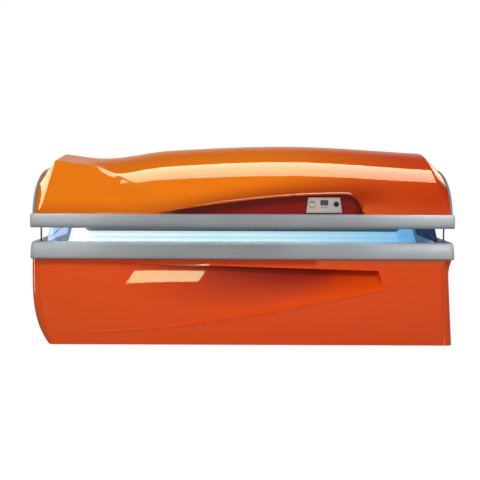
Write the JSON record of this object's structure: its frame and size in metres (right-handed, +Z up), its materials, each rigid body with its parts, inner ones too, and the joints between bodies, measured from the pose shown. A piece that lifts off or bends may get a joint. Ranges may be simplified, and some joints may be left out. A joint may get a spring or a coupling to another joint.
{
  "type": "tanning bed",
  "caption": "Clamshell tanning bed: glossy sculpted base and hinged canopy with silver rails, lamps behind clear sheets, gas springs and a small control panel.",
  "frame": {"origin": "on the floor, at the middle of the bed's length and depth", "axes": "+X along the bed to the right as seen from the front, +Y to the rear hinge, +Z up"},
  "size_m": [2.26, 1.18, 1.076],
  "materials": {
    "orange_gelcoat": "high-gloss orange lacquer on moulded panels",
    "satin_silver": "satin silver",
    "grey_trim": "satin grey",
    "clear_acrylic": "clear polished acrylic",
    "lamp_tube": "white phosphor tube, lit",
    "white_holder": "pale matt plastic",
    "bright_reflector": "bright rolled sheet",
    "frame_steel": "dark powder coat",
    "pale_steel": "pale blue-grey powder coat",
    "zinc_steel": "zinc-plated sheet",
    "black_plastic": "satin black",
    "black_rubber": "matt black",
    "chrome": "polished",
    "dark_glass": "dark display window"
  },
  "bodies": {
    "base": {"ballast_rack": "zinc_steel", "base_front_panel": "orange_gelcoat", "base_front_rail": "satin_silver", "base_left_end_frame": "pale_steel", "base_left_end_panel": "orange_gelcoat", "base_left_end_rail": "satin_silver", "base_pan": "zinc_steel", "base_rear_beam": "frame_steel", "base_rear_deck": "grey_trim", "base_rear_panel": "orange_gelcoat", "base_right_end_frame": "pale_steel", "base_right_end_panel": "orange_gelcoat", "base_right_end_rail": "satin_silver", "bench_acrylic": "clear_acrylic", "bench_lamp_1": "lamp_tube", "bench_lamp_2": "lamp_tube", "bench_lamp_3": "lamp_tube", "bench_lamp_4": "lamp_tube", "bench_left_lampholder": "white_holder", "bench_reflector": "bright_reflector", "bench_right_lampholder": "white_holder", "fan_housing": "black_plastic", "foot_front_left": "black_rubber", "foot_front_right": "black_rubber", "foot_rear_left": "black_rubber", "foot_rear_right": "black_rubber", "hinge_bracket_left": "frame_steel", "hinge_bracket_right": "frame_steel", "hinge_pin_left": "zinc_steel", "hinge_pin_right": "zinc_steel", "left_end_screen": "clear_acrylic", "mains_gland": "black_plastic", "right_end_screen": "clear_acrylic"},
    "canopy": {"canopy_acrylic": "clear_acrylic", "canopy_front_rail": "satin_silver", "canopy_lamp_1": "lamp_tube", "canopy_lamp_2": "lamp_tube", "canopy_lamp_3": "lamp_tube", "canopy_lamp_4": "lamp_tube", "canopy_lamp_5": "lamp_tube", "canopy_left_end_cap": "grey_trim", "canopy_left_lampholder": "white_holder", "canopy_rear_beam": "frame_steel", "canopy_reflector": "bright_reflector", "canopy_right_end_cap": "grey_trim", "canopy_right_lampholder": "white_holder", "canopy_shell": "orange_gelcoat", "control_panel": "satin_silver", "display_window": "dark_glass", "exhaust_vent": "grey_trim", "hinge_arm_left": "frame_steel", "hinge_arm_right": "frame_steel"},
    "timer_knob": {"timer_knob": "chrome"},
    "start_button": {"start_button": "black_plastic"},
    "fan_impeller": {"fan_impeller": "black_plastic"},
    "gas_cylinder_left": {"gas_spring_cylinder_left": "black_plastic"},
    "gas_cylinder_right": {"gas_spring_cylinder_right": "black_plastic"},
    "gas_rod_left": {"gas_spring_rod_left": "chrome"},
    "gas_rod_right": {"gas_spring_rod_right": "chrome"}
  },
  "joints": [
    {"name": "canopy_hinge", "type": "hinge", "parent": "base", "child": "canopy", "pos_m": [0, 0.505, 0.618], "axis": [-1, 0, 0], "range_deg": [0, 42]},
    {"name": "gas_pivot_left", "type": "hinge", "parent": "base", "child": "gas_cylinder_left", "pos_m": [-1.062, 0.36, 0.348], "axis": [-1, 0, 0], "range_deg": [0, 18]},
    {"name": "gas_pivot_right", "type": "hinge", "parent": "base", "child": "gas_cylinder_right", "pos_m": [1.062, 0.36, 0.348], "axis": [-1, 0, 0], "range_deg": [0, 18]},
    {"name": "gas_stroke_left", "type": "slide", "parent": "gas_cylinder_left", "child": "gas_rod_left", "axis": [0, -0.3251, 0.9457], "range_m": [0, 0.145]},
    {"name": "gas_stroke_right", "type": "slide", "parent": "gas_cylinder_right", "child": "gas_rod_right", "axis": [0, -0.3251, 0.9457], "range_m": [0, 0.145]},
    {"name": "timer_turn", "type": "hinge", "parent": "canopy", "child": "timer_knob", "pos_m": [0.371, -0.556, 0.7643], "axis": [0, -1, 0], "range_deg": [0, 300]},
    {"name": "start_press", "type": "slide", "parent": "canopy", "child": "start_button", "axis": [0, 1, 0], "range_m": [0, 0.003], "stiffness_N_per_m": 800},
    {"name": "fan_spin", "type": "hinge", "parent": "base", "child": "fan_impeller", "pos_m": [0.26, 0.01, 0.11], "axis": [0, 0, 1], "continuous": true}
  ],
  "couplings": [
    {"joint": "gas_pivot_left", "follows": "canopy_hinge", "ratio": 0.42014},
    {"joint": "gas_pivot_right", "follows": "canopy_hinge", "ratio": 0.42014},
    {"joint": "gas_stroke_left", "follows": "canopy_hinge", "m_per_rad": 0.19035},
    {"joint": "gas_stroke_right", "follows": "canopy_hinge", "m_per_rad": 0.19035}
  ]
}
